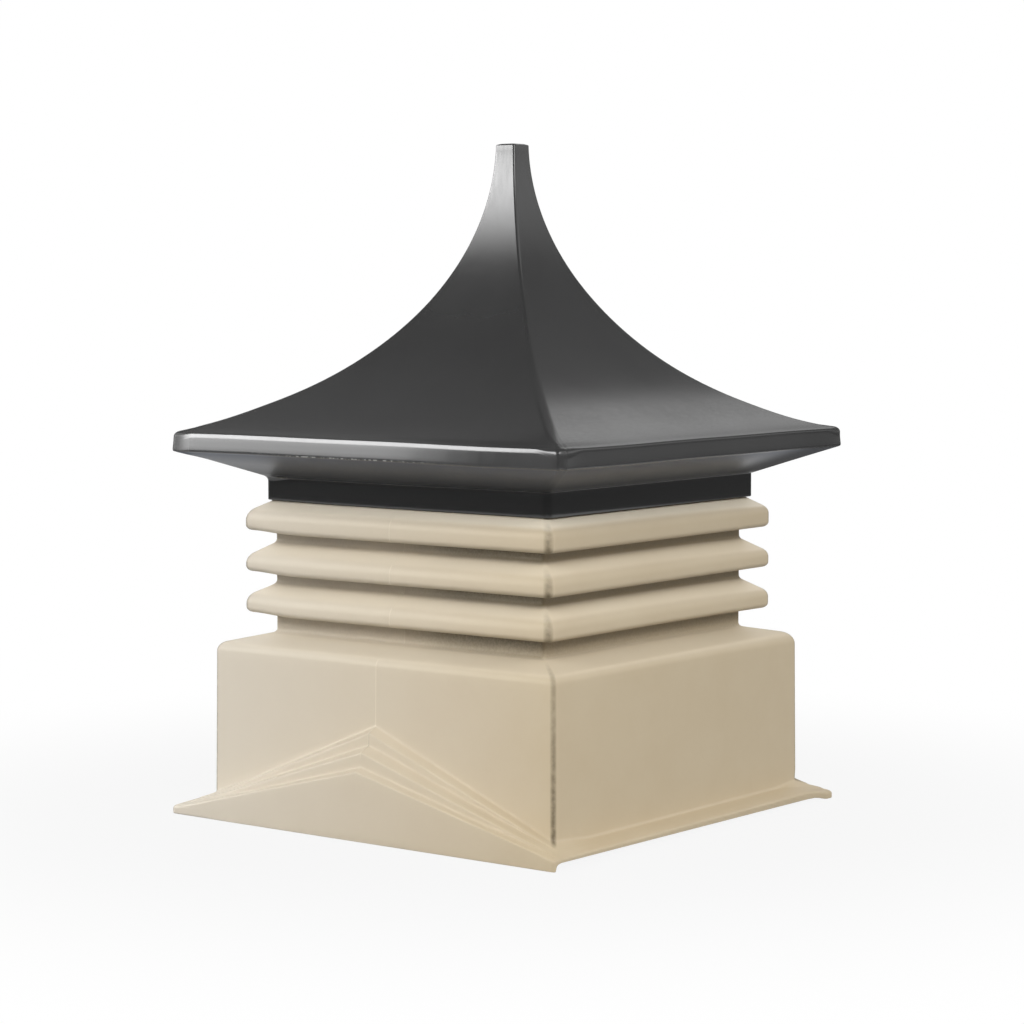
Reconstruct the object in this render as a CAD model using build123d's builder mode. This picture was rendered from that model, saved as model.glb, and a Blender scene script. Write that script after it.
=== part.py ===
"""Ridge cupola in moulded polyethylene: a louvred tan base under a dark flared roof.

The base is one hollow moulding and the roof another, each open underneath.
Both are square in plan and stand centred on Z, with the floor at Z = 0.
The stepped gable ends face -Y (front) and +Y (back), so the ridge of the house
roof under the cupola runs along Y.  Each moulding is divided where its shape
turns, into panels that meet face to face and mitre at the corners.
"""

import os
from math import cos, radians, tan

from build123d import *

# ---- sizes, in millimetres and degrees ------------------------------------

wall = 5.0                  # thickness of both mouldings

# roof moulding
roof_height = 545.0         # from the fascia's top edge to the top of the spire
spire_half = 21.4           # half width of the closed top of the spire
flare_radius = 567.0        # hollow curve of the roof, in side view
fascia_height = 31.5
eave_overhang = 131.0       # how far the eaves stand out from the collar
soffit_fall = 52.5          # drop of the soffit from eave to collar
collar_height = 48.0
collar_offset = 13.5        # how far the collar stands out from the recesses

# neck of the base, inside the collar
neck_clearance = 0.5        # between neck and collar, all round
neck_overlap = 30.0         # how far the neck rises above the collar's lower edge

# louvres, numbered from the top
recess_half = 316.5         # half width across the recesses between louvres
louvre_depth = 41.5         # how far a louvre stands out from the recesses
louvre_angle = 32.0         # fall of a louvre's top face
louvre_pitch = 78.0
louvre_nose = 33.0          # height of a louvre's upright face
top_nose = 39.5             # the same on the top louvre, under the collar
brow_radius = 15.0          # outside radius at the top of the nose
lip_radius = 8.0            # outside radius at the bottom of the nose
recess_radius = 4.0         # outside radius in the corners of a recess

# box
box_half = 400.0            # half width at the foot of the box
box_draft = 2.5             # how far the box leans in by its top
shoulder_height = 325.0     # height of the shoulder's outer edge
shoulder_rise = 20.0        # from there up to the foot of the recess
shoulder_radius = 16.0      # outside radius of the shoulder
shoulder_recess = 35.0      # upright recess between shoulder and lowest louvre

# skirt: side flanges, and gable ends stepped for three roof pitches
flange_width = 46.5         # how far the side flanges stand out from the box
flange_lip_top = 24.0
flange_lip_bottom = 9.5
flange_lip_radius = 12.0    # outside radius of the rolled lip
step_run_out = 18.0         # height where every step runs out at the corner
step_peaks = (203.0, 171.0, 134.0)  # height of each step's crease, at mid width
step_depths = (22.5, 45.0, 60.0)    # how far each step's face stands out from the box
ledge_angle = 25.0          # fall of the ledge above each step, at mid width

# ---- places worked out from the sizes -------------------------------------

collar_half = recess_half + collar_offset
louvre_half = recess_half + louvre_depth
neck_half = collar_half - wall - neck_clearance
eave_half = collar_half + eave_overhang
flange_half = box_half + flange_width
step_faces = tuple(box_half + depth for depth in step_depths)

louvre_slope = tan(radians(louvre_angle))
louvre_rise = louvre_nose + louvre_depth * louvre_slope
recess_foot = shoulder_height + shoulder_rise
louvre_3_bottom = recess_foot + shoulder_recess
louvre_3_root = louvre_3_bottom + louvre_rise
louvre_2_bottom = louvre_3_bottom + louvre_pitch
louvre_2_root = louvre_2_bottom + louvre_rise
louvre_1_bottom = louvre_2_bottom + louvre_pitch
louvre_1_brow = louvre_1_bottom + top_nose

collar_bottom = louvre_1_brow + (louvre_half - collar_half) * louvre_slope
collar_top = collar_bottom + collar_height
eave_bottom = collar_top + soffit_fall
fascia_top = eave_bottom + fascia_height
overall_height = fascia_top + roof_height
neck_root = collar_bottom + (collar_half - neck_half) * louvre_slope
neck_top = collar_bottom + neck_overlap

crease = step_peaks[0] - (step_peaks[0] - step_run_out) * box_half / flange_half
ledge_thickness = wall / cos(radians(ledge_angle))
reach = 2 * max(eave_half, flange_half, *step_faces)

SIDES = {"front": 0, "right": 90, "back": 180, "left": 270}
ENDS = ("front", "back")
os.makedirs("parts", exist_ok=True)


def gable(peak, foot=None, inset=0.0):
    """Corners of an end face: a low gable that runs out at the flange tip.

    foot is the height of its lower edge, by default the tip's own height, and
    inset moves its slopes down and its ends in.
    """
    half = flange_half - inset
    run_out = step_run_out - inset * ledge_thickness / wall
    top = peak - inset * ledge_thickness / wall
    ends = [(half, run_out), (0, top), (-half, run_out)]
    if foot is None:
        return ends
    return [(-half, foot), (half, foot), *ends]


def save(part, label):
    """Name a finished piece and write its STEP file."""
    part.label = label
    export_step(part, f"parts/{label}.step")


# ---- the two skins, drawn as (distance from the middle, height) ------------

with BuildSketch() as roof_skin:
    with BuildLine():
        with BuildLine() as roof_face:
            Line((0, overall_height), (spire_half, overall_height))
            RadiusArc((spire_half, overall_height), (eave_half, fascia_top), -flare_radius)
            Polyline(
                (eave_half, fascia_top),
                (eave_half, eave_bottom),
                (collar_half, collar_top),
                (collar_half, collar_bottom - wall * louvre_slope),
            )
        offset(roof_face.line, amount=wall, side=Side.RIGHT)
    make_face()
    with BuildLine():
        Polyline(
            (collar_half, collar_bottom),
            (collar_half - 2 * wall, collar_bottom + 2 * wall * louvre_slope),
            (collar_half - 2 * wall, collar_bottom - 2 * wall),
            (collar_half, collar_bottom - 2 * wall),
            close=True,
        )
    make_face(mode=Mode.SUBTRACT)

with BuildSketch() as base_skin:
    with BuildLine():
        with BuildLine() as base_face:
            FilletPolyline(
                (neck_half, neck_top),
                (neck_half, neck_root),
                (louvre_half, louvre_1_brow),
                (louvre_half, louvre_1_bottom),
                (recess_half, louvre_1_bottom),
                (recess_half, louvre_2_root),
                (louvre_half, louvre_2_bottom + louvre_nose),
                (louvre_half, louvre_2_bottom),
                (recess_half, louvre_2_bottom),
                (recess_half, louvre_3_root),
                (louvre_half, louvre_3_bottom + louvre_nose),
                (louvre_half, louvre_3_bottom),
                (recess_half, louvre_3_bottom),
                (recess_half, recess_foot),
                (box_half - box_draft, shoulder_height),
                (box_half, crease),
                (flange_half, flange_lip_top),
                (flange_half, flange_lip_bottom),
                radius=[
                    0,
                    *[brow_radius, lip_radius, recess_radius, recess_radius] * 3,
                    shoulder_radius,
                    recess_radius,
                    flange_lip_radius,
                ],
            )
        offset(base_face.line, amount=wall, side=Side.RIGHT)
    make_face()

# ---- the panels of each side ----------------------------------------------

# Each panel is a stretch of a skin: its label, the skin, and the part of the
# section that it takes, from (nearest, lowest) to (furthest, highest).
roof_edge = eave_half - wall
mid_fascia = eave_bottom + fascia_height / 2
PANELS = {
    "roof": (roof_skin, (0, mid_fascia), (roof_edge, overall_height - wall)),
    "fascia": (roof_skin, (roof_edge, 0), (reach, overall_height)),
    "soffit": (roof_skin, (collar_half, 0), (roof_edge, mid_fascia)),
    "collar": (roof_skin, (0, 0), (collar_half, mid_fascia)),
    "louvre_1": (base_skin, (0, louvre_2_root), (reach, neck_top)),
    "louvre_2": (base_skin, (0, louvre_3_root), (reach, louvre_2_root)),
    "louvre_3": (base_skin, (0, recess_foot), (reach, louvre_3_root)),
    "wall": (base_skin, (0, crease), (reach, recess_foot)),
}

for side, turn in SIDES.items():
    section = Plane.XZ.rotated((0, 0, turn - 90))
    quarter = Plane.XY.rotated((0, 0, turn - 90))
    for name, (skin, low, high) in PANELS.items():
        with BuildPart() as panel:
            with BuildSketch(section):
                add(skin.sketch_local)
                with Locations(low):
                    Rectangle(
                        high[0] - low[0],
                        high[1] - low[1],
                        align=(Align.MIN, Align.MIN),
                        mode=Mode.INTERSECT,
                    )
            extrude(amount=reach, both=True)
            with BuildSketch(quarter):
                Polygon((0, 0), (reach, -reach), (reach, reach), align=None)
            extrude(amount=overall_height, mode=Mode.INTERSECT)
            if name == "wall":
                for end in ENDS:
                    start = 0 if end == side else box_half - wall
                    with BuildSketch(Plane.XZ.rotated((0, 0, SIDES[end])).offset(start)):
                        Polygon(*gable(step_peaks[0]), align=None)
                    extrude(amount=reach, mode=Mode.SUBTRACT)
        save(panel.part, f"{side}_{name}")

# ---- the closed top of the spire -------------------------------------------

with BuildPart() as roof_cap:
    with BuildSketch(Plane.XY.offset(overall_height)):
        Rectangle(2 * spire_half, 2 * spire_half)
    extrude(amount=-wall)
save(roof_cap.part, "roof_cap")

# ---- the stepped gable ends -------------------------------------------------

# A step is a shallow box under a ledge.  Its ledge starts from the crease on
# the face behind and ends at the brow of its own face, and both edges run out
# at the flange tip.  The inside follows at the thickness of the moulding.
for side in ENDS:
    end = Plane.XZ.rotated((0, 0, SIDES[side]))
    backs = (box_half, *step_faces[:-1])
    for number, (peak, back, face) in enumerate(zip(step_peaks, backs, step_faces), 1):
        lowest = number == len(step_faces)
        foot = 0 if lowest else flange_lip_bottom
        brow = peak - (face - back) * tan(radians(ledge_angle))
        with BuildPart() as step:
            with BuildSketch(end.offset(back - wall)):
                Polygon(*gable(peak, foot), align=None)
            extrude(amount=wall)
            with BuildSketch(end.offset(back)):
                Polygon(*gable(peak, foot), align=None)
            with BuildSketch(end.offset(face)):
                Polygon(*gable(brow, foot), align=None)
            loft(ruled=True)
            with BuildSketch(end.offset(back - wall)):
                Polygon(*gable(peak, -wall, wall), align=None)
            with BuildSketch(end.offset(face - wall)):
                Polygon(*gable(brow, -wall, wall), align=None)
            loft(ruled=True, mode=Mode.SUBTRACT)
            if not lowest:
                with BuildSketch(end.offset(face - wall)):
                    Polygon(*gable(step_peaks[number], -wall), align=None)
                extrude(amount=reach, mode=Mode.SUBTRACT)
        save(step.part, f"{side}_apron" if lowest else f"{side}_step_{number}")

# ---- the side flanges --------------------------------------------------------

for side in ("right", "left"):
    with BuildPart() as flange:
        with BuildSketch(Plane.XZ.rotated((0, 0, SIDES[side] - 90))):
            add(base_skin.sketch_local)
            with Locations((0, 0)):
                Rectangle(reach, crease, align=(Align.MIN, Align.MIN), mode=Mode.INTERSECT)
        extrude(amount=box_half - wall, both=True)
    save(flange.part, f"{side}_flange")
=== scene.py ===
"""Ridge cupola: the two rotationally moulded shells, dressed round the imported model.

The roof and the base are each one seamless hollow moulding.  A moulding is a
closed surface of two parameters: a section, drawn as half width and height and
rounded at its corners, is carried round a square plan with rounded corners.
Lengths are in metres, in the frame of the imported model.
"""

from math import atan2, cos, radians, sin, sqrt, tan

import bpy
import numpy as np
from bpy.props import FloatProperty, FloatVectorProperty, PointerProperty
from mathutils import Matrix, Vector


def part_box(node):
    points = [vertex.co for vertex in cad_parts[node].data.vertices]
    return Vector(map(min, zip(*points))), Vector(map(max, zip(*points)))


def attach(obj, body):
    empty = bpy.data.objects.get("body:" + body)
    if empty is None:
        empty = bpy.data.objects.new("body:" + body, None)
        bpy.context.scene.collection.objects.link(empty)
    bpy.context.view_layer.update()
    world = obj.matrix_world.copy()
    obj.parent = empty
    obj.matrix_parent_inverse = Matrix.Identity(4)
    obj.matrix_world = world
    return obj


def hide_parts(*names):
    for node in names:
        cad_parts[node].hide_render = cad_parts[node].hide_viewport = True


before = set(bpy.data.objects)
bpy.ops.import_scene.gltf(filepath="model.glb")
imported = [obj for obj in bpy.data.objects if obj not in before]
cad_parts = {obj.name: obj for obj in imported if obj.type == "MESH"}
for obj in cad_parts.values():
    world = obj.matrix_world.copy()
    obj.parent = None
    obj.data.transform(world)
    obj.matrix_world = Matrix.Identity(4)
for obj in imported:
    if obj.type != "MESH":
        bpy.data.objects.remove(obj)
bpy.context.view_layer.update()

bl_info = {
    "name": "Ridge cupola",
    "version": (1, 0, 0),
    "blender": (4, 5, 0),
    "location": "3D View > Sidebar > Cupola",
    "description": "Moulded cupola with a flared roof, blind louvres and stepped gable ends",
    "category": "Add Mesh",
}

SIDES = ("front", "right", "back", "left")
ROOF_NODES = ["roof_cap"] + [
    f"{side}_{part}" for side in SIDES for part in ("roof", "fascia", "soffit", "collar")
]
BASE_NODES = (
    [f"{side}_{part}" for side in SIDES for part in ("louvre_1", "louvre_2", "louvre_3", "wall")]
    + [f"{side}_{part}" for side in ("front", "back") for part in ("step_1", "step_2", "apron")]
    + ["right_flange", "left_flange"]
)
MM = 0.001

# columns of every surface: shares of half a side from its corner and from its middle, and the
# steps round a corner
NEAR_CORNER = (0, 0.0025, 0.005, 0.01, 0.018, 0.028, 0.04, 0.058, 0.085, 0.12, 0.165, 0.22, 0.28,
               0.35, 0.42, 0.5, 0.58, 0.66, 0.74, 0.82, 0.87)
NEAR_MIDDLE = (0, 0.0018, 0.0036, 0.008, 0.018, 0.04, 0.08)
CORNER_STEPS = 8

# sockets of a Mix node, whose names repeat
SHARE, NUMBER_A, NUMBER_B, COLOUR_A, COLOUR_B = 0, 2, 3, 6, 7
MIXED_NUMBER, MIXED_COLOUR = 0, 2


# ---- colour and nodes ------------------------------------------------------


def linear(hex_code):
    """An sRGB hex colour as linear red, green, blue and alpha."""
    values = [int(hex_code[i:i + 2], 16) / 255 for i in (1, 3, 5)]
    straight = [v / 12.92 if v <= 0.04045 else ((v + 0.055) / 1.055) ** 2.4 for v in values]
    return (*straight, 1.0)


def add_node(tree, kind, inputs=None, **settings):
    """Adds a shader node.  settings are its properties; inputs are its sockets, each with a value
    or with an output to link."""
    node = tree.nodes.new("ShaderNode" + kind)
    for key, value in settings.items():
        setattr(node, key, value)
    for key, value in (inputs or {}).items():
        if isinstance(value, bpy.types.NodeSocket):
            tree.links.new(value, node.inputs[key])
        else:
            node.inputs[key].default_value = value
    return node


# ---- surfaces --------------------------------------------------------------


def blend(first, last, share):
    """first + (last - first) share."""
    return first + (last - first) * share


def ease(value, start, end):
    """Smooth step: 0 before start, 1 after end, t^2 (3 - 2 t) between them."""
    t = np.clip((value - start) / (end - start), 0, 1)
    return t * t * (3 - 2 * t)


def round_square():
    """Columns round a square with rounded corners, anticlockwise from the front left corner.

    A column stands at a (X - R, Y - R) + c R, where X, Y are the row's half sizes and R its corner
    radius.  Along a side, a runs from corner to corner and c is the side's own direction; round a
    corner, a stays and c turns through a quarter circle.  Gives a and c, as places and leans.
    """
    half = np.unique([*(1 - np.array(NEAR_CORNER)), *NEAR_MIDDLE])
    straight = np.concatenate([-half[:0:-1], half])
    turns = np.linspace(0, np.pi / 2, CORNER_STEPS + 1)[1:-1]
    places, leans = [], []
    for outward in ((0, -1), (1, 0), (0, 1), (-1, 0)):
        outward, along = np.array(outward, float), np.array((-outward[1], outward[0]), float)
        places += [outward + straight[:, None] * along, np.tile(outward + along, (len(turns), 1))]
        leans += [np.tile(outward, (len(straight), 1)),
                  np.cos(turns)[:, None] * outward + np.sin(turns)[:, None] * along]
    return np.concatenate(places), np.concatenate(leans)


def hollow_curve(start, end, radius):
    """Arc between two points of a section, hollow outwards, as a function of radius and share.

    Its centre lies sqrt(radius^2 - chord^2 / 4) beside the middle of the chord.  Share 0 is at
    start and 1 at end, and another radius gives the arc that runs beside it.
    """
    start, chord = np.array(start), np.subtract(end, start)
    aside = np.array([-chord[1], chord[0]]) / np.hypot(*chord)
    centre = start + chord / 2 + aside * sqrt(radius ** 2 - (chord @ chord) / 4)
    first, last = (atan2(z - centre[1], w - centre[0]) % (2 * np.pi) for w, z in (start, end))

    def points(radius, share):
        turn = blend(first, last, share)
        return centre + radius * np.stack([np.cos(turn), np.sin(turn)], 1)

    return points


def for_columns(rows, columns, fields):
    """The first fields of each row as an array (row, column, field).  A field is one number, or an
    array with one for each column."""
    spread = [[np.broadcast_to(value, columns) for value in row[:fields]] for row in rows]
    return np.swapaxes(np.array(spread, float), 1, 2)


def rounded_rows(corners, radii, arcs, runs):
    """Rows along a section with rounded corners, for every column at once.

    corners is (corner, column, value): half size, height and whatever else goes with them.  A
    corner C becomes the exact arc ((1-t)^2 A + p C + t^2 B) / ((1-t)^2 + p + t^2), where A and B
    lie radius times the tangent of half the turn before and after C, and p is 2 t (1-t) times the
    cosine of half the turn.  arcs gives each arc's steps, and runs the steps of the straight after.
    """
    least, most = 0.01, 0.47                # reach of an arc, as a share of the shorter straight
    flat = corners[:, :, :2]
    length = np.linalg.norm(np.diff(flat, axis=0), axis=2)
    way = np.diff(corners, axis=0) / length[:, :, None]
    rows, last = [], corners[0]
    for k in range(1, len(corners)):
        if k == len(corners) - 1 or arcs[k] == 0:
            first = after = corners[k]
        else:
            half_turn = np.arccos(np.clip((way[k - 1, :, :2] * way[k, :, :2]).sum(1), -1, 1)) / 2
            shorter = np.minimum(length[k - 1], length[k])
            reach = np.clip(radii[k] * np.tan(half_turn), least * shorter, most * shorter)[:, None]
            first, after = corners[k] - way[k - 1] * reach, corners[k] + way[k] * reach
        share = np.linspace(0, 1, runs[k - 1] + 1)[:-1, None, None]
        rows.append(last + (first - last) * share)
        if k < len(corners) - 1 and arcs[k]:
            t = np.linspace(0, 1, arcs[k] + 1)[:-1, None, None]
            pull = 2 * np.cos(half_turn)[None, :, None] * t * (1 - t)
            arc = (1 - t) ** 2 * first + pull * corners[k] + t ** 2 * after
            rows.append(arc / ((1 - t) ** 2 + pull + t ** 2))
        last = after
    return np.concatenate(rows + [corners[-1:]])


def shell(name, rows, poles=False):
    """Mesh of a closed surface from its grid of points (row, column, xyz).

    Columns close on themselves.  Rows close on themselves too, or with poles the first and the last
    row are each one point, joined to the next row by a fan.
    """
    count, columns = rows.shape[:2]
    column = np.arange(columns)
    after = np.roll(column, -1)
    if poles:
        points = np.concatenate([rows[:1, 0], rows[1:-1].reshape(-1, 3), rows[-1:, 0]])
        start = 1 + np.arange(count - 3)[:, None] * columns
        below = start + columns
        first, last = 1 + column, 1 + (count - 3) * columns + column
        fans = [np.stack([np.zeros_like(column), first, np.roll(first, -1)], 1),
                np.stack([np.full_like(column, len(points) - 1), np.roll(last, -1), last], 1)]
    else:
        points = rows.reshape(-1, 3)
        start = np.arange(count)[:, None] * columns
        below = np.roll(start, -1, axis=0)
        fans = []
    quads = np.stack([start + column, below + column, below + after, start + after], -1)
    faces = [face for part in (quads.reshape(-1, 4), *fans) for face in part.tolist()]
    mesh = bpy.data.meshes.new(name)
    mesh.from_pydata(points, [], faces)
    mesh.polygons.foreach_set("use_smooth", np.ones(len(mesh.polygons), bool))
    mesh.update()
    return mesh


def mark(mesh, poles=False, **layers):
    """Gives the mesh of a shell point attributes, each from its grid of values from 0 to 1."""
    for name, values in layers.items():
        if poles:
            values = np.concatenate([values[:1, 0], values[1:-1].ravel(), values[-1:, 0]])
        layer = mesh.attributes.new(name, "FLOAT", "POINT")
        layer.data.foreach_set("value", np.clip(values, 0, 1).astype(np.float32).ravel())


def put(mesh, material, nodes):
    """Shows a finished mesh as a piece that rides on the body and stands for its CAD nodes."""
    piece = bpy.data.objects.new(mesh.name, mesh)
    bpy.context.scene.collection.objects.link(piece)
    mesh.materials.append(material)
    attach(piece, "root")
    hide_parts(*nodes)


# ---- finishes --------------------------------------------------------------


def tan_polyethylene(finish):
    """Tan polyethylene, rotationally moulded from powder."""
    # The mould's blasted face leaves a satin skin.  Powder that melts unevenly leaves a faint
    # mottle, in patches of 111 mm.  The grain, finer than 1 mm on such a skin, is drawn at 3.85 mm
    # so that it shows.  A painted sheen whitens the left side, fading to the right; painted light
    # brightens the slopes that face up and the parting line's ridge; dust and painted shade darken
    # the recesses; painted shade darkens the outer corners in a line that breaks up every 11 mm.
    material = bpy.data.materials.new("Tan rotomoulded polyethylene")
    material.use_nodes = True
    tree = material.node_tree
    tree.nodes.clear()
    place = add_node(tree, "TexCoord").outputs["Object"]
    mottle, grain, rag = (
        add_node(tree, "TexNoise", {"Vector": place, "Scale": 1 / (size * MM), "Detail": detail,
                                    "Roughness": rough}).outputs["Fac"]
        for size, detail, rough in ((111, 6.0, 0.6), (3.85, 2.0, 0.5), (11.1, 3.0, 0.5)))
    across = add_node(tree, "SeparateXYZ", {0: place}).outputs["X"]
    # the second of these is a painted sheen, lighter on the left side and fading to the right
    tone, painted_sheen, speck, ragged, rough = (
        add_node(tree, "MapRange", {"Value": value, "From Min": start, "From Max": end,
                                    "To Min": low, "To Max": high}).outputs[0]
        for value, start, end, low, high in (
            (mottle, 0.35, 0.65, 0.0, 1.0), (across, 0.46, -0.46, 0.03, 0.82),
            (grain, 0.3, 0.7, 0.75, 1.0), (rag, 0.35, 0.6, 0.65, 1.0),
            (mottle, 0.3, 0.7, 0.52, 0.6)))
    # marks: painted light on the slopes, dust with painted shade, and painted shade on the corners
    bleach, dust, rub = (add_node(tree, "Attribute", attribute_name=name).outputs["Fac"]
                         for name in ("bleach", "dust", "rub"))
    # dust and painted shade broken up by the grain; painted shade on the corners broken every 11 mm
    dust_and_shade, shaded_corner = (add_node(tree, "Math", {0: amount, 1: broken}, operation="MULTIPLY").outputs[0]
                    for amount, broken in ((dust, speck), (rub, ragged)))
    colour = (*finish.base_shade, 1)
    # mixes: tone, painted sheen, painted light, dust with painted shade, painted shade on the
    # corners
    for share, over in (
            (tone, finish.base_tan), (painted_sheen, finish.base_painted_sheen), (bleach, finish.base_bleach),
            (dust_and_shade, finish.base_dust), (shaded_corner, finish.base_rub)):
        colour = add_node(tree, "Mix", {SHARE: share, COLOUR_A: colour, COLOUR_B: (*over, 1)},
                          data_type="RGBA").outputs[MIXED_COLOUR]
    bump = add_node(tree, "Bump", {"Height": grain, "Strength": 0.25, "Distance": 0.2 * MM})
    shader = add_node(tree, "BsdfPrincipled", {
        "Base Color": colour, "Roughness": rough, "Normal": bump.outputs[0], "IOR": 1.51})
    add_node(tree, "OutputMaterial", {"Surface": shader.outputs[0]})
    return material


def charcoal_polyethylene(finish):
    """Charcoal polyethylene, rotationally moulded, with the glossier skin of a polished mould."""
    # Powder filled with carbon black is near black, a little clouded in patches of 143 mm.  The
    # mould's polish lines, 6.25 mm apart here so that they show, print as faint streaks down the
    # slopes and break up the soft gloss, which the polish lifts a little above the plastic's own.
    # The collar is smoother, and darkened with painted shade, as under the eaves; the soffits are
    # dulled and lightened with a painted reflection.  Flash, a thin whitish fringe torn every
    # 6.67 mm, is left where the halves of the mould met, and is drawn at about twice its real width
    # so that it shows.
    material = bpy.data.materials.new("Charcoal rotomoulded polyethylene")
    material.use_nodes = True
    tree = material.node_tree
    tree.nodes.clear()
    place = add_node(tree, "TexCoord").outputs["Object"]
    drawn = add_node(tree, "Mapping", {"Vector": place, "Scale": (1.0, 1.0, 0.06)}).outputs[0]
    streak, cloud, tear = (
        add_node(tree, "TexNoise", {"Vector": where, "Scale": 1 / (size * MM),
                                    "Detail": 3.0}).outputs["Fac"]
        for where, size in ((drawn, 6.25), (place, 143), (place, 6.67)))
    mixed = add_node(tree, "Math", {0: streak, 1: cloud}, operation="ADD").outputs[0]
    tone, polish, torn = (
        add_node(tree, "MapRange", {"Value": value, "From Min": start, "From Max": end,
                                    "To Min": low, "To Max": high}).outputs[0]
        for value, start, end, low, high in (
            (cloud, 0.3, 0.7, 0.0, 1.0), (mixed, 0.7, 1.3, 0.18, 0.26),
            (tear, 0.48, 0.56, 0.0, 1.0)))
    # the collar's mark darkens it with painted shade; the soffit's mark lightens it with a painted
    # reflection
    lip, dust, dull, flash = (add_node(tree, "Attribute", attribute_name=name).outputs["Fac"]
                              for name in ("lip", "dust", "dull", "flash"))
    flash = add_node(tree, "Math", {0: flash, 1: torn}, operation="MULTIPLY").outputs[0]
    colour = (*finish.roof_shade, 1)
    for share, over in ((tone, finish.roof_charcoal), (lip, finish.roof_collar_shade),
                        (dust, finish.roof_dust), (flash, finish.roof_flash)):
        colour = add_node(tree, "Mix", {SHARE: share, COLOUR_A: colour, COLOUR_B: (*over, 1)},
                          data_type="RGBA").outputs[MIXED_COLOUR]
    rough = polish
    for share, over in ((lip, 0.12), (dust, 0.5), (dull, 1.0)):
        rough = add_node(tree, "Mix", {SHARE: share, NUMBER_A: rough, NUMBER_B: over},
                         data_type="FLOAT").outputs[MIXED_NUMBER]
    bump = add_node(tree, "Bump", {"Height": streak, "Strength": 0.12, "Distance": 0.2 * MM})
    shader = add_node(tree, "BsdfPrincipled", {
        "Base Color": colour, "Roughness": rough, "Normal": bump.outputs[0], "IOR": 1.51,
        "Specular IOR Level": 0.65})
    add_node(tree, "OutputMaterial", {"Surface": shader.outputs[0]})
    return material


# ---- settings --------------------------------------------------------------


def length(name, description, default):
    """A length, its default given in millimetres."""
    return FloatProperty(name=name, description=description, default=default * MM,
                         subtype="DISTANCE", unit="LENGTH", precision=4)


def colour(name, description, hex_code):
    """A colour, its default given as sRGB hex."""
    return FloatVectorProperty(name=name, description=description, default=linear(hex_code)[:3],
                               subtype="COLOR", size=3, min=0, max=1)


def brightness(name, description, default, **more):
    """A light's strength."""
    return FloatProperty(name=name, description=description, default=default, min=0, **more)


class CupolaRoofSizes(bpy.types.PropertyGroup):
    wall: length("Wall", "Thickness of the moulding", 5)
    flare_radius: length("Flare radius", "Radius of the roof's hollow curve", 567)
    cap_dome: length("Cap dome", "Rise of the spire's closed top", 3.5)
    spire_gain: length("Spire gain",
                       "How far the spire stands outside its solid, for its rounded corners", 2.0)
    collar_gain: length("Collar gain",
                        "How far the collar stands outside its solid, for its rounded corners", 3.4)
    fascia_radius: length("Fascia top radius", "Rounding at the top of the fascia, at its corners",
                          13)
    fascia_bevel: length("Fascia bevel", "How far the top of the fascia leans in", 1.3)
    fascia_lean: length("Fascia lean", "How far the rest of the fascia leans in", 1.25)
    soffit_radius: length("Soffit radius",
                          "Hollow rounding between soffit and collar, at the front left corner", 12)
    soffit_drop: length("Soffit drop", "How far the soffit hangs below its solid at the collar",
                        2.5)
    collar_lip_radius: length("Collar lip radius", "Rounding at the collar's lower corners", 6)
    hip_corner: length("Hip radius", "Corner radius in plan of spire and hips", 5)
    near_hip: length("Near hip", "How much softer the front right hip is", 12)
    eave_corner: length("Eave corner radius", "Corner radius in plan at the eaves", 16)
    collar_corner: length("Collar corner radius", "Corner radius in plan of the collar", 12)
    eave_wave: length("Eave wave", "How far the eaves wander from straight", 0.8)
    eave_dip: length("Eave dip", "How far the slopes dip behind the eaves", 2)
    hip_puff: length("Hip puff", "How much fuller one hip is than the others", 3)
    shift_x: length("Seat, X", "How far the roof sits off centre, in X", 3.4)
    shift_y: length("Seat, Y", "How far the roof sits off centre, in Y", 1.8)
    front_trim: length("Front trim", "How far the front eave was drawn in", 2)
    collar_dip: length("Collar dip", "How far the collar's lower edge dips at its corners", 1.6)


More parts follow.
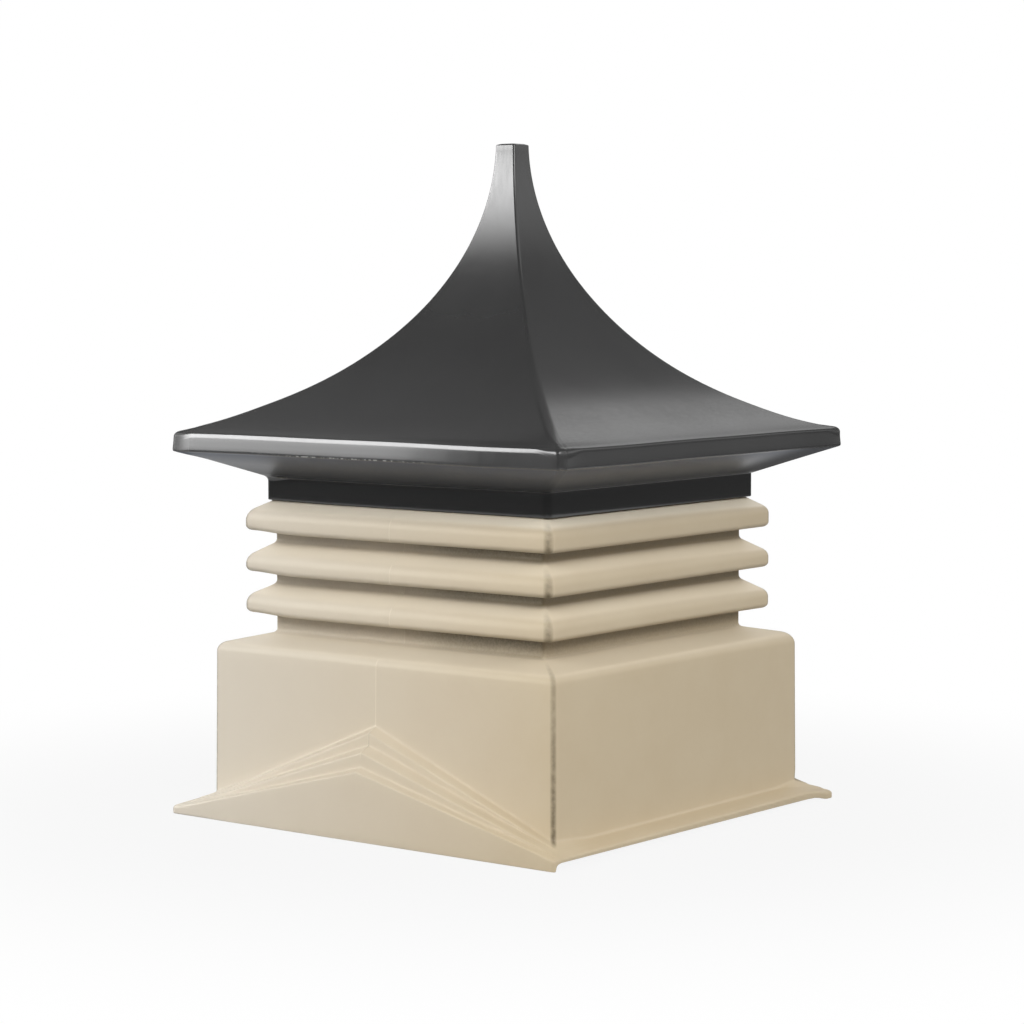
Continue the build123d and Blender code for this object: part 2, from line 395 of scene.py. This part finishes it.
class CupolaBaseSizes(bpy.types.PropertyGroup):
    wall: length("Wall", "Thickness of the moulding", 5)
    box_gain: length("Box gain",
                     "How far the box stands outside its solid, for its rounded corners", 0.8)
    louvre_gain: length("Louvre gain",
                        "How far a louvre stands outside its solid, for its rounded corners", 3.5)
    louvre_depth: length("Louvre depth", "How far a louvre stands out from the recesses", 43.5)
    louvre_nose: length("Louvre nose", "Height of a louvre's upright face", 33)
    top_nose: length("Top louvre nose", "Height of the top louvre's upright face", 39.5)
    neck_clearance: length("Neck clearance", "Gap between neck and collar", 0.5)
    brow_radius: length("Brow radius", "Rounding at the top of a louvre's nose", 27)
    lip_radius: length("Lip radius", "Rounding at the bottom of a louvre's nose", 10)
    recess_radius: length("Recess radius", "Rounding at the top of a recess", 3)
    root_radius: length("Root radius", "Rounding at the foot of a recess", 12)
    neck_sag: length("Neck sag", "How far the top louvre's slope sags at the neck", 2.5)
    slope_sag: length("Slope sag", "How far the louvres' slopes sag at the back right corner", 3)
    lip_lift: length("Lip lift", "How much higher the louvres' lips stand at the front left corner",
                     5)
    shoulder_rise: length("Shoulder rise", "Rise of the shoulder from its edge to the recess", 20)
    shoulder_radius: length("Shoulder radius", "Rounding of the box's shoulder", 18)
    box_draft: length("Box draft", "How far the box leans in by its top", 2.5)
    ledge_radius: length("Ledge radius", "Rounding of the ledges at the gable ends", 4)
    flange_lip_radius: length("Flange lip radius", "Rounding of the side flange's lip", 16)
    flange_lift: length("Flange lift", "Height of the side flange's lower edge", 10.2)
    flange_tilt: length("Flange tilt",
                        "How much lower the side flange's edge is at the back than mid side", 3.6)
    louvre_corner: length("Louvre corner radius", "Corner radius in plan of the louvres", 14)
    box_corner: length("Box corner radius", "Corner radius in plan of the box", 9)
    tip_right: length("Right tip", "Height of the skirt's front right tip", 20)
    tip_left: length("Left tip", "Height of the skirt's front left tip", 14.5)
    tip_back: length("Back tips", "Height of the skirt's back tips", 12)
    crease_at_corner: length("Crease at corner", "Height of the box's foot at its corners", 38)
    crease_at_middle: length("Crease at middle", "Height of the box's foot in the middle of a side",
                             30)
    parting_height: length("Parting line height",
                           "Height of the ridge along the mould's parting line", 0.7)
    long_tip: length("Long tip", "How much longer the front left tip of the skirt was trimmed",
                     14.3)


class CupolaFinish(bpy.types.PropertyGroup):
    base_tan: colour("Tan", "Tan polyethylene", "#BCAC8F")
    base_shade: colour("Tan, shaded", "Darker mottle in the tan", "#B8A789")
    # painted sheen, laid lighter on the left side
    base_painted_sheen: colour("Tan, chalked", "Tan gone pale with chalking", "#DCD4C6")
    # painted light on the slopes that face up
    base_bleach: colour("Tan, bleached", "Tan bleached by the sun on its slopes", "#F0E6D2")
    # dust and painted shade in the recesses
    base_dust: colour("Dust", "Dust in the recesses", "#5A5039")
    # painted shade on the rounded outer corners
    base_rub: colour("Rub", "Rubbed, soiled outer corners", "#5E523A")
    roof_charcoal: colour("Charcoal", "Charcoal polyethylene", "#2E2E2E")
    roof_shade: colour("Charcoal, shaded", "Darker clouding in the charcoal", "#2B2B2B")
    # painted shade: the collar's darker charcoal stands for the shade under the eaves
    roof_collar_shade: colour("Collar", "Smooth, darker charcoal of the collar, which lies out of the sun",
                     "#181818")
    # painted reflection: lightens the soffits by the fascia, fading towards the collar
    roof_dust: colour("Roof dust", "Dust under the eaves", "#3C475A")
    roof_flash: colour("Flash", "Torn flash along the fascia's lower edge", "#B4B4B2")


class CupolaStage(bpy.types.PropertyGroup):
    sky: brightness("Even light", "Brightness of the light all round, low and overhead", 0.1)
    ring: brightness("Ring light", "Extra brightness all round, at mid height", 3.6)
    key: brightness("Key light", "Power of the soft lamp in front", 33, unit="POWER")
    box: brightness("Soft box", "Brightness of the soft box on the left, in reflections", 14)
    wall: brightness("Wall", "Brightness of the wall behind, in reflections", 1.0)
    side: brightness("Side", "Brightness of the wall on the right, in reflections", 0.9)
    room: brightness("Room", "Brightness of the room, in reflections", 0.2)


# ---- the pieces ------------------------------------------------------------


class CUPOLA_OT_roof(bpy.types.Operator):
    """Makes the charcoal roof: flared shell, fascia, soffit and collar in one moulding"""

    bl_idname = "cupola.roof"
    bl_label = "Roof moulding"

    def execute(self, context):
        s = context.scene.cupola_roof
        fascia_low, fascia_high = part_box("right_fascia")
        collar_low, collar_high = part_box("right_collar")
        cap_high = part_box("roof_cap")[1]
        # half widths
        spire, eave = cap_high.x + s.spire_gain, fascia_high.x
        collar = collar_high.x + s.collar_gain
        # heights
        top, shoulder = cap_high.z, cap_high.z - s.cap_dome
        eave_top, eave_bottom = fascia_high.z, fascia_low.z
        collar_top, collar_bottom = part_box("right_soffit")[0].z, collar_low.z

        places, leans = round_square()
        x_place, y_place = places.T
        front = np.clip(-leans[:, 1], 0, 1)
        at_corner = ease(np.abs(places).min(1), 0.9, 1.0)
        front_left = ease(np.minimum(-x_place, -y_place), 0.8, 1.0)
        # the front fascia leans in, less and less towards the near corner, where its bevel dies out
        lean = s.fascia_lean * (1 - 1.4 * front * ease(x_place, 0.1, 0.9))
        bevel = s.fascia_bevel * front * (1 - ease(x_place, 0.86, 0.99))
        brow = blend(blend(6 * MM, 1.5 * MM, front), s.fascia_radius, at_corner)
        bend = blend(7 * MM, 16 * MM, at_corner)        # from the fascia's top down to its bend
        sink = collar_top - s.soffit_drop * (1 - 0.4 * x_place)

        edge = 0.5 * MM                                 # how far the fascia's foot is drawn in
        small = 1.5 * MM                                # corner radius in plan inside the flare
        soffit_rise = s.wall * 0.68                     # from the soffit's outer to its inner face
        inner_collar, inner_corner = collar - s.wall, s.collar_corner - s.wall
        inner_eave = eave - s.wall - s.fascia_bevel - s.fascia_lean
        on_seat, on_eave = (1, 0, 0), (0, 1, 0)         # seat, eave and the soffit's painted reflection
        flare = hollow_curve((spire, shoulder), (eave, eave_top), s.flare_radius)
        steps = np.linspace(0.015, 0.975, 56)
        outer, inner = flare(s.flare_radius, steps), flare(s.flare_radius + s.wall, steps[::-2])

        def skin(curve, radius):
            """Rows down the flare: the seat fades out, and the corner opens at the eaves."""
            return [(w, z, radius + (s.eave_corner - s.hip_corner) * ease(w, 0.8 * eave, eave),
                     1 - ease(w, 0.22 * eave, 0.55 * eave), ease(w, 0.8 * eave, eave), 0, 0, 0, 1)
                    for w, z in curve]

        def under(share, dust):
            """Row on the soffit, a share of the way in from the fascia to the collar."""
            return (blend(eave, collar, share) - edge, blend(eave_bottom, sink, share),
                    blend(s.eave_corner, s.collar_corner, share), share, 1 - share, dust, 0, 0, 4)

        # half width, height, corner radius in plan, seat, eave, painted reflection, rounding, steps
        # of the arc, steps of the run after it
        table = [
            (0, top, 0, *on_seat, 0, 0, 3),
            (spire * 0.75, top - s.cap_dome * 0.35, s.hip_corner, *on_seat, 12 * MM, 3, 1),
            (spire, shoulder, s.hip_corner, *on_seat, 1.6 * MM, 4, 1),
            *skin(outer, s.hip_corner),
            (eave - bevel - lean, eave_top, s.eave_corner, *on_eave, brow, 5, 2),
            (eave - lean, eave_top - bend, s.eave_corner, *on_eave, 20 * MM, 4, 3),
            (eave, eave_bottom + 3 * MM, s.eave_corner, *on_eave, 40 * MM, 4, 2),
            (eave - edge, eave_bottom, s.eave_corner, *on_eave, 1.5 * MM, 3, 2),
            # the soffit's painted reflection is strongest by the fascia and fades towards the
            # collar
            under(0.04, 1),
            under(0.45, 0.5),
            (collar, sink, s.collar_corner, *on_seat,
             blend(0.8 * MM, s.soffit_radius, front_left), 6, 4),
            (collar, collar_bottom, s.collar_corner, *on_seat,
             blend(0.5 * MM, s.collar_lip_radius, at_corner), 4, 1),
            (inner_collar, collar_bottom + s.wall * 0.62, inner_corner, *on_seat, 1 * MM, 2, 2),
            (inner_collar, collar_top + soffit_rise, inner_corner, *on_seat, 0, 0, 3),
            (inner_eave, eave_bottom + soffit_rise, s.eave_corner - s.wall, *on_eave, 0, 0, 2),
            *[row for row in skin(inner, small) if row[0] < eave - s.wall * 1.5],
            (inner[-1][0] * 0.75, shoulder - s.wall, small, *on_seat, 0, 0, 2),
            (0, shoulder - s.wall, 0, *on_seat, 0, 0, 0),
        ]
        rounding, arcs, runs = zip(*(row[6:] for row in table))
        rows = rounded_rows(for_columns(table, len(places), 6), rounding, arcs, runs)
        half, height, corner, seat, at_eave, dust = np.moveaxis(rows, 2, 0)

        # smooth, and darkened with painted shade, on the collar and a little above it; dull where
        # that reaches the soffit, where the soffit runs out at the back of the right side, and
        # round the eaves' front left corner
        smooth_shaded_collar = (1 - ease(height, collar_top, collar_top + 28 * MM)) * (half < collar + 60 * MM)
        on_soffit = (height < eave_bottom + 1 * MM) * (height > collar_top + 2 * MM) * (half < eave)
        far = on_soffit * ease(y_place * leans[:, 0], 0.45, 0.85)
        dull = np.maximum.reduce([
            0.4 * smooth_shaded_collar * ease(height, collar_top - 3 * MM, collar_top + 1 * MM),
            0.75 * far,
            0.55 * front_left * at_corner * (half > eave - 8 * MM)])
        dust = dust * (1 - 0.7 * far)
        # flash is left on a stretch of the front fascia's lower edge
        at_edge = (np.abs(half - eave) < 1.2 * MM) * (height > eave_bottom - 1 * MM) * (
            1 - ease(height, eave_bottom + 0.6 * MM, eave_bottom + 2.2 * MM))
        flash = at_edge * front * ease(x_place, -0.45, -0.3) * (1 - ease(x_place, 0.2, 0.45))

        # the eaves are sharper at the back right corner, and the near hip is softer than the others
        sharper = 0.4 * np.clip(places.sum(1) / 2, 0, 1) ** 4
        corner = np.minimum(corner, half) * (1 - sharper * at_eave)
        near_hip = ease(np.minimum(x_place, -y_place), 0.4, 1) * ease(half, 0.25 * eave, 0.6 * eave)
        corner = corner + s.near_hip * near_hip * (height > eave_top) * (1 - at_eave)
        # the eaves wander a little in height and pull in a little between the corners
        along = x_place * leans[:, 1] - y_place * leans[:, 0]
        wave = (0.6 * np.sin(3.1 * along + 2.0 * leans[:, 0] + 0.6)
                + 0.4 * np.sin(7.3 * along + 3.1 * leans[:, 1]))
        pull = 0.5 * (1 + np.sin(5.3 * along + leans[:, 0] + 1.1))
        height = height + at_eave * s.eave_wave * (wave - 0.5)
        # the slopes dip behind the eaves, the front left hip is a little fuller than the others,
        # and the collar's lip dips at its corners
        dip = ease(half, 0.7 * eave, 0.86 * eave) * (1 - ease(half, 0.92 * eave, 0.985 * eave))
        height = height - s.eave_dip * dip * (height > eave_top)
        full = np.clip(-places.sum(1) / 2, 0, 1) ** 6
        puff = ease(half, 0.45 * eave, 0.75 * eave) * (1 - ease(half, 0.9 * eave, 0.99 * eave))
        height = height + s.hip_puff * full * puff
        lip = (height < collar_bottom + 10 * MM) & (half > collar * 0.9)
        height = height + lip * s.collar_dip * (1 - ease(np.abs(places).min(1), 0.86, 0.96))
        half = half - at_eave * s.eave_wave * pull
        # the upper part and the collar sit off centre, and the front eave was drawn in
        x = x_place * (half - corner) + leans[:, 0] * corner + s.shift_x * seat
        y = y_place * (half - corner) + leans[:, 1] * corner
        trim = s.front_trim * at_eave
        y = y * (1 - trim / eave) + trim + s.shift_y * seat

        mesh = shell("roof_moulding", np.stack([x, y, height], -1), poles=True)
        mark(mesh, poles=True, dust=dust, lip=smooth_shaded_collar, dull=dull, flash=flash)
        put(mesh, charcoal_polyethylene(context.scene.cupola_finish), ROOF_NODES)
        return {"FINISHED"}


class CUPOLA_OT_base(bpy.types.Operator):
    """Makes the tan base: neck, blind louvres, box, stepped gable ends and flanges in one shell"""

    bl_idname = "cupola.base"
    bl_label = "Base moulding"

    def execute(self, context):
        s = context.scene.cupola_base
        wall_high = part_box("right_wall")[1]
        louvres = [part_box(f"right_louvre_{n}") for n in (1, 2, 3)]
        steps = [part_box(f"front_{name}") for name in ("step_1", "step_2", "apron")]
        louvre_slope, ledge_slope = tan(radians(32)), tan(radians(25))
        # how much lower the inner face lies than the outer one, for each unit of wall: under the
        # louvres' slopes, under the shoulder, and under the ledges
        under_slope, under_shoulder, under_ledge = 0.554, 0.78, 0.64
        # how far dust and painted shade reach up the slope from a recess, as a share of the slope
        dusty_slope, dusty_shoulder = 0.24, 0.16

        # half widths
        box = wall_high.x + s.box_gain
        louvre = louvres[1][1].x + s.louvre_gain
        recess = louvre - s.louvre_depth
        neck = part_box("right_collar")[0].x - s.neck_clearance
        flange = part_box("right_flange")[1].x
        faces = [-low.y for low, high in steps]
        faces[2] -= s.parting_height
        # heights
        recess_foot = wall_high.z
        roots = [louvres[0][0].z, louvres[1][0].z, recess_foot]
        rise = s.louvre_nose + s.louvre_depth * louvre_slope
        bottoms = [roots[0] - rise, roots[1] - rise]
        bottoms.insert(0, 2 * bottoms[0] - bottoms[1])
        neck_top = louvres[0][1].z
        neck_root = bottoms[0] + s.top_nose + (louvre - neck) * louvre_slope - s.neck_sag
        # the lines of a gable end, from the crease down to the lowest ledge: height in the middle,
        # distance from the middle, share of the way out to the flange, corner radius in plan
        behind = [wall_high.x] + faces[:-1]
        tops = np.array([[high.z, high.z - (face - back) * ledge_slope]
                         for (low, high), back, face in zip(steps, behind, faces)]).reshape(-1, 1)
        depth = np.array([[box, faces[0], faces[0], faces[1], faces[1], faces[2]]]).T
        out_share = np.array([[0, 0.36, 0.44, 0.74, 0.82, 1.0]]).T
        width = blend(box, flange, out_share)
        plan = np.array([[s.box_corner, 9 * MM, 9 * MM, 8 * MM, 8 * MM, 7 * MM]]).T

        places, leans = round_square()
        x_place, y_place = places.T
        side = leans[:, 0] ** 2                     # 0 on the gable ends, 1 on the sides
        back = y_place > 0
        front_left = ease(np.minimum(-x_place, -y_place), 0.6, 1.0) ** 2
        back_right = np.clip(places.sum(1) / 2, 0, 1) ** 4
        tip = np.where(back, s.tip_back, np.where(x_place < 0, s.tip_left, s.tip_right))
        reach = np.where(back, box, flange)

        def upper(t):
            """Rows of the section's corners from the neck to the shoulder, moved in by t: half
            width, height, corner radius in plan, dust and painted shade, painted shade on the
            corners, rounding, steps of the arc, steps of the run after it."""
            slant, slack = t * under_slope, t * under_shoulder
            out = t == 0                            # only the outside carries dust and painted shade
            lift, sag = s.lip_lift * front_left, s.slope_sag * back_right
            louvre_plan, recess_plan = s.louvre_corner - t, 6 * MM - t * 0.8
            neck_plan, slope_plan = 8 * MM - t * 0.5, 8 * MM - t * 0.8
            rows = [(neck - t, neck_top, neck_plan, 0, 0, 0.8 * MM, 2, 2),
                    (neck - t, neck_root - slant, neck_plan, 0, 0, 0, 0, 3)]
            for n, bottom in enumerate(bottoms):
                brow = bottom + (s.louvre_nose if n else s.top_nose) - slant - sag
                if n == 2:
                    brow, lift = brow + 3 * MM * front_left, lift - 2 * MM * back_right
                lip = bottom + t + lift
                root = roots[n] - (slant if n < 2 else slack) - sag
                rounded_brow = s.brow_radius - 8 * MM * back_right - t
                rows += [(louvre - t, brow, louvre_plan, 0, 0.5 * out, rounded_brow, 9, 2),
                         (louvre - t, lip, louvre_plan, 0, 1.0 * out, s.lip_radius - t, 6, 3),
                         (recess - t, lip, recess_plan, 1.0 * out, 0, s.recess_radius + t, 3, 3),
                         (recess - t, root, recess_plan, 0.5 * out, 0, s.root_radius + t, 7, 2)]
                if n < 2:
                    foot = s.louvre_depth * dusty_slope
                    rows.append((recess - t + foot, root - foot * louvre_slope, slope_plan,
                                 0.06 * out, 0, 0, 0, 4))
            return rows + [
                (blend(recess, box, dusty_shoulder) - t, root - s.shoulder_rise * dusty_shoulder,
                 recess_plan, 0.04 * out, 0, 0, 0, 4),
                (box - s.box_draft - t, recess_foot - s.shoulder_rise - slack, s.box_corner - t,
                 0, 0.5 * out, s.shoulder_radius + 6 * MM * back_right - t, 8, 16)]

        def section(t):
            """Corners of the section round the whole base, moved in by t: on the gable ends, on the
            sides, their roundings, and the steps of the arcs and of the runs after them."""
            rows = upper(t)
            drop = t * under_ledge
            gables = slice(len(rows), len(rows) + len(tops))
            ends = np.zeros((len(rows) + len(tops) + 1, len(places), 5))
            ends[:len(rows)] = for_columns(rows, len(places), 5)
            sides = ends.copy()
            none = np.zeros((len(tops), len(places)))
            radius = none + np.maximum(plan - t, 1.5 * MM)
            x = np.abs(x_place) * (width - plan) + np.abs(leans[:, 0]) * plan
            y = np.abs(y_place) * (depth - plan) + np.abs(leans[:, 1]) * plan
            # a gable's lines fall evenly to the tip, and all of them melt together at the corner
            at_corner = blend(s.crease_at_corner, tip, out_share)
            fall = (tops - tip) * np.clip(1 - x / reach, 0, 1)
            missed = at_corner - tip - (tops - tip) * np.clip(1 - width / reach, 0, 1)
            gable = tip + fall + missed * ease(x, 300 * MM, width)
            # along a side they run level, and rise or fall to the tip near the corner
            middle = s.crease_at_middle - 4.5 * MM * out_share - 5 * MM * out_share ** 3
            near = np.where(back, ease(y - depth, -78 * MM, -2 * MM),
                            ease(y - depth, -120 * MM, -14 * MM))
            level = blend(middle, at_corner, near)
            # painted shade: a short notch on the first ledges at the parting line, and on the
            # crease at the corners
            notch_shade = np.array([[0, 0.5, 0.5, 0, 0, 0]]).T * (np.abs(x_place) < 0.0025) * (1 - side)
            rub = none + np.array([[1, 0, 0, 0, 0, 0]]).T * (t == 0)
            ends[gables] = np.stack([none + depth - t, gable - drop, radius, notch_shade, rub], -1)
            sides[gables] = np.stack([none + width - t, level - drop, radius, none, rub], -1)
            # the lower edge: on the floor at the gable ends, lifted along the sides, with a hollow
            # at the front tips that starts with a small step
            inward = faces[2] - y[-1]
            lift = s.flange_lift - s.flange_tilt * y_place
            step = 6.3 * MM
            hollow = np.clip((inward - 5.5 * MM) / (17 * MM), 0, 1)
            rising = np.where(back, lift * ease(inward, 16 * MM, 62 * MM),
                              step * ease(inward, 3.9 * MM, 5.5 * MM)
                              + (lift - step) * np.sqrt(1 - (1 - hollow) ** 2))
            ends[-1, :, 0], sides[-1, :, 0] = faces[2] - t, flange - t
            ends[-1, :, 1], sides[-1, :, 1] = 0, rising
            ends[-1, :, 2] = sides[-1, :, 2] = radius[-1]
            # roundings of the crease, the ledges, the lowest ledge and the lower edge
            wing = (blend(s.ledge_radius, 7 * MM, ease(np.abs(x_place), 0.85, 1.0))
                    + (3 * front_left + 5 * back_right) * MM)
            foot = 0.8 * MM + 3 * MM * front_left
            ledges = [1.6 * s.ledge_radius] + [s.ledge_radius] * 4
            rounding = [row[5] for row in rows] + ledges + [wing, foot]
            lips = list(rounding)
            lips[-2] = blend(s.flange_lip_radius, 7 * MM, near[-1])
            arcs, runs = [row[6] for row in rows], [row[7] for row in rows]
            if t:                                   # the inside is drawn coarser
                arcs = [min(steps, 2) for steps in arcs] + [1] * 7
                runs = [max(1, steps // 2) for steps in runs] + [2] * 5 + [3, 1]
            else:
                arcs += [4] * 5 + [5, 3]
                runs += [2] * 5 + [9, 1]
            return ends, sides, rounding, lips, arcs, runs

        # down the outside and up the inside; the first corner is given again at the end
        outer, inner = section(0), section(s.wall)
        ends, sides = (np.concatenate([outer[i], inner[i][::-1], outer[i][:1]]) for i in (0, 1))
        end_radii, side_radii, arcs = (outer[i] + inner[i][::-1] + [0] for i in (2, 3, 4))
        arcs[0] = 0
        runs = outer[5] + inner[5][-2::-1] + [1, 0]
        end_rows = rounded_rows(ends, end_radii, arcs, runs)[:-1]
        side_rows = rounded_rows(sides, side_radii, arcs, runs)[:-1]
        deep, wide = end_rows[:, :, 0], side_rows[:, :, 0]
        rows = blend(end_rows, side_rows, side[:, None])
        height, corner, dust, rub = np.moveaxis(rows[:, :, 1:], 2, 0)
        outside = (np.arange(len(deep)) < len(deep) * 0.62)[:, None]

        # the back right corner is rounder below the recess
        below = 1 - ease(height, recess_foot - 25 * MM, recess_foot)
        rounder = blend(13 * MM, 6 * MM, ease(height, 20 * MM, 60 * MM))
        corner = corner + back_right * below * rounder
        # the parting line is a fine ridge up the middle of the gable ends
        x = x_place * (wide - corner)
        ridge = np.clip(1 - np.abs(x + 1 * MM) / (1.5 * MM), 0, 1) * (1 - side) * outside
        deep = deep + s.parting_height * ridge
        x = x + leans[:, 0] * corner
        y = y_place * (deep - corner) + leans[:, 1] * corner
        # two tips of the skirt were trimmed longer than the others: front left, and back right
        out = s.long_tip * np.clip((np.abs(x) - box) / (flange - box), 0, 1) * (height < 60 * MM)
        longer = 0.5 * ease(y, 0.36, 0.43) * (x > 0) - ease(-y, 0.2, 0.44) * (x < 0)
        points = np.stack([x + out * longer, y, np.maximum(height, 0)], -1)

        mesh = shell("base_moulding", points)
        normals = np.empty(points.size, np.float32)
        mesh.vertex_normals.foreach_get("vector", normals)
        # painted light on up-facing slopes, the more the higher they lie, and on the parting ridge
        upward = ease(normals.reshape(points.shape)[..., 2], 0.55, 0.92) * outside
        paint_by_height = (0.25 * (height > recess_foot - 60 * MM) + 0.15 * (height > recess_foot + 20 * MM)
                   + 0.4 * (height > bottoms[0]))
        # dust and painted shade are darkest near the front right corner
        dust = dust * (0.4 + 0.6 * ease(x_place, -0.1, 0.5) * (1 - 0.65 * side))
        # painted shade on the rounded outer corners, strongest where two sides meet
        shaded_corner = rub * (2 * np.abs(leans[:, 0] * leans[:, 1])) ** 1.2
        mark(mesh, dust=dust, rub=shaded_corner, bleach=np.maximum(0.35 * ridge, upward * paint_by_height))
        put(mesh, tan_polyethylene(context.scene.cupola_finish), BASE_NODES)
        return {"FINISHED"}


class CUPOLA_OT_stage(bpy.types.Operator):
    """Sets the floor, the studio light and the camera"""

    bl_idname = "cupola.stage"
    bl_label = "Stage"

    def execute(self, context):
        context.scene.view_settings.view_transform = "Standard"
        self.lay_floor(context.scene)
        self.light_studio(context.scene)
        self.set_camera(context.scene)
        return {"FINISHED"}

    def lay_floor(self, scene):
        """Floor of pale matt paper, seen as white but for a little shade under the object."""
        half = 2.6                                  # half its side
        mesh = bpy.data.meshes.new("floor")
        mesh.from_pydata([(-half, -half, 0), (half, -half, 0), (half, half, 0), (-half, half, 0)],
                         [], [(0, 1, 2, 3)])
        floor = bpy.data.objects.new("floor", mesh)
        scene.collection.objects.link(floor)
        paper = bpy.data.materials.new("White paper")
        paper.use_nodes = True
        tree = paper.node_tree
        tree.nodes.clear()
        # lit as grey paper, and seen as white, wholly so from 1.8 m out
        path = add_node(tree, "LightPath")
        seen = path.outputs["Is Camera Ray"]
        for other in ("Is Glossy Ray", "Is Transmission Ray"):
            seen = add_node(tree, "Math", {0: seen, 1: path.outputs[other]},
                            operation="MAXIMUM").outputs[0]
        place = add_node(tree, "TexCoord").outputs["Object"]
        out = add_node(tree, "VectorMath", {0: place}, operation="LENGTH").outputs["Value"]
        fade = add_node(tree, "MapRange", {"Value": out, "From Min": 0.6, "From Max": 1.8,
                                           "To Min": 0.9, "To Max": 1.0},
                        interpolation_type="SMOOTHSTEP").outputs[0]
        share = add_node(tree, "Math", {0: seen, 1: fade}, operation="MULTIPLY").outputs[0]
        matt = add_node(tree, "BsdfDiffuse", {"Color": linear("#949494")})
        glow = add_node(tree, "Emission", {"Color": (1, 1, 1, 1), "Strength": 1.0})
        mixed = add_node(tree, "MixShader",
                         {0: share, 1: matt.outputs[0], 2: glow.outputs[0]})
        add_node(tree, "OutputMaterial", {"Surface": mixed.outputs[0]})
        mesh.materials.append(paper)

    def light_studio(self, scene):
        """Studio light: a ring all round at mid height, a soft lamp, and a room that gloss sees."""
        s = scene.cupola_stage
        right, back, up = (1, 0, 0), (0, 1, 0), (0, 0, 1)
        world = bpy.data.worlds.new("Studio")
        scene.world = world
        world.use_nodes = True
        tree = world.node_tree
        tree.nodes.clear()
        path = add_node(tree, "LightPath")
        way = add_node(tree, "TexCoord").outputs["Generated"]

        def patch(level, edges):
            """Patch of light between soft edges.  Each edge goes from 0 to 1 as the light's way
            along a direction goes from its start to its end."""
            for direction, start, end in edges:
                along = add_node(tree, "VectorMath", {0: way, 1: direction},
                                 operation="DOT_PRODUCT").outputs["Value"]
                edge = add_node(tree, "MapRange",
                                {"Value": along, "From Min": start, "From Max": end},
                                interpolation_type="SMOOTHSTEP").outputs[0]
                level = add_node(tree, "Math", {0: level, 1: edge}, operation="MULTIPLY").outputs[0]
            return level

        # gloss sees a dim room with a soft box on the left, whose lower edge rises to the right, a
        # pale wall behind the object and another on the right
        mirror = s.room
        for level, edges in (
                (s.box, ((up, -0.03, 0.1), ((-1.3, 0, 1), 0.8, 0.875), (up, 0.63, 0.22),
                         (right, -0.5, -0.58), (back, -0.1, -0.3))),
                (s.wall, (((0.21, -0.98, 0), -0.79, -0.85), (right, -0.15, -0.3),
                          (up, 0.15, 0.6), (up, 0.8, 0.6))),
                (s.side, ((right, 0.4, 0.56), (up, -0.06, 0.12)))):
            mirror = add_node(tree, "Math", {0: mirror, 1: patch(level, edges)},
                              operation="ADD").outputs[0]
        ring = patch(s.ring, ((up, 0.24, 0.46), (up, 0.66, 0.56)))
        even = add_node(tree, "Math", {0: ring, 1: s.sky}, operation="ADD").outputs[0]
        light = add_node(tree, "Mix",
                         {SHARE: path.outputs["Is Glossy Ray"], NUMBER_A: even, NUMBER_B: mirror},
                         data_type="FLOAT").outputs[MIXED_NUMBER]
        studio, white = (
            add_node(tree, "Background", {"Color": (1, 1, 1, 1), "Strength": strength}).outputs[0]
            for strength in (light, 1.0))
        seen = add_node(tree, "MixShader", {0: path.outputs["Is Camera Ray"], 1: studio, 2: white})
        add_node(tree, "OutputWorld", {"Surface": seen.outputs[0]})
        # one large soft lamp in front of the near corner
        lamp = bpy.data.lights.new("key", "AREA")
        lamp.shape, lamp.size, lamp.energy = "DISK", 1.6, s.key
        key = bpy.data.objects.new("key", lamp)
        scene.collection.objects.link(key)
        key.location = (1.85, -2.05, 1.9)
        target = Vector((0, 0, 0.5))
        key.rotation_euler = (target - key.location).to_track_quat("-Z", "Y").to_euler()

    def set_camera(self, scene):
        """Camera at the height of the roof, turned from the front towards the right side."""
        azimuth, elevation, distance = radians(37.36), radians(4.6528), 5.4922
        aim_height, aim_right = 0.56824, 0.00312
        data = bpy.data.cameras.new("camera")
        data.lens, data.sensor_width, data.clip_end = 100.7, 36, 50
        camera = bpy.data.objects.new("camera", data)
        scene.collection.objects.link(camera)
        forward = Vector((-sin(azimuth) * cos(elevation), cos(azimuth) * cos(elevation),
                          -sin(elevation)))
        right = Vector((cos(azimuth), sin(azimuth), 0))
        camera.location = -forward * distance + right * aim_right + Vector((0, 0, aim_height))
        camera.rotation_euler = forward.to_track_quat("-Z", "Y").to_euler()
        scene.camera = camera


class CUPOLA_PT_panel(bpy.types.Panel):
    """Sizes, finishes and stage of the cupola"""

    bl_idname = "CUPOLA_PT_panel"
    bl_label = "Cupola"
    bl_space_type = "VIEW_3D"
    bl_region_type = "UI"
    bl_category = "Cupola"

    def draw(self, context):
        for group, operator in (("cupola_roof", "cupola.roof"), ("cupola_base", "cupola.base"),
                                ("cupola_finish", None), ("cupola_stage", "cupola.stage")):
            settings = getattr(context.scene, group)
            box = self.layout.box()
            for name in settings.__annotations__:
                box.prop(settings, name)
            if operator:
                box.operator(operator)


GROUPS = {"cupola_roof": CupolaRoofSizes, "cupola_base": CupolaBaseSizes,
          "cupola_finish": CupolaFinish, "cupola_stage": CupolaStage}
CLASSES = (*GROUPS.values(), CUPOLA_OT_roof, CUPOLA_OT_base, CUPOLA_OT_stage, CUPOLA_PT_panel)


def register():
    for cls in CLASSES:
        bpy.utils.register_class(cls)
    for name, group in GROUPS.items():
        setattr(bpy.types.Scene, name, PointerProperty(type=group))


def unregister():
    for name in GROUPS:
        delattr(bpy.types.Scene, name)
    for cls in reversed(CLASSES):
        bpy.utils.unregister_class(cls)


def main():
    register()
    bpy.ops.cupola.base()
    bpy.ops.cupola.roof()
    bpy.ops.cupola.stage()


if __name__ == "__main__":
    main()
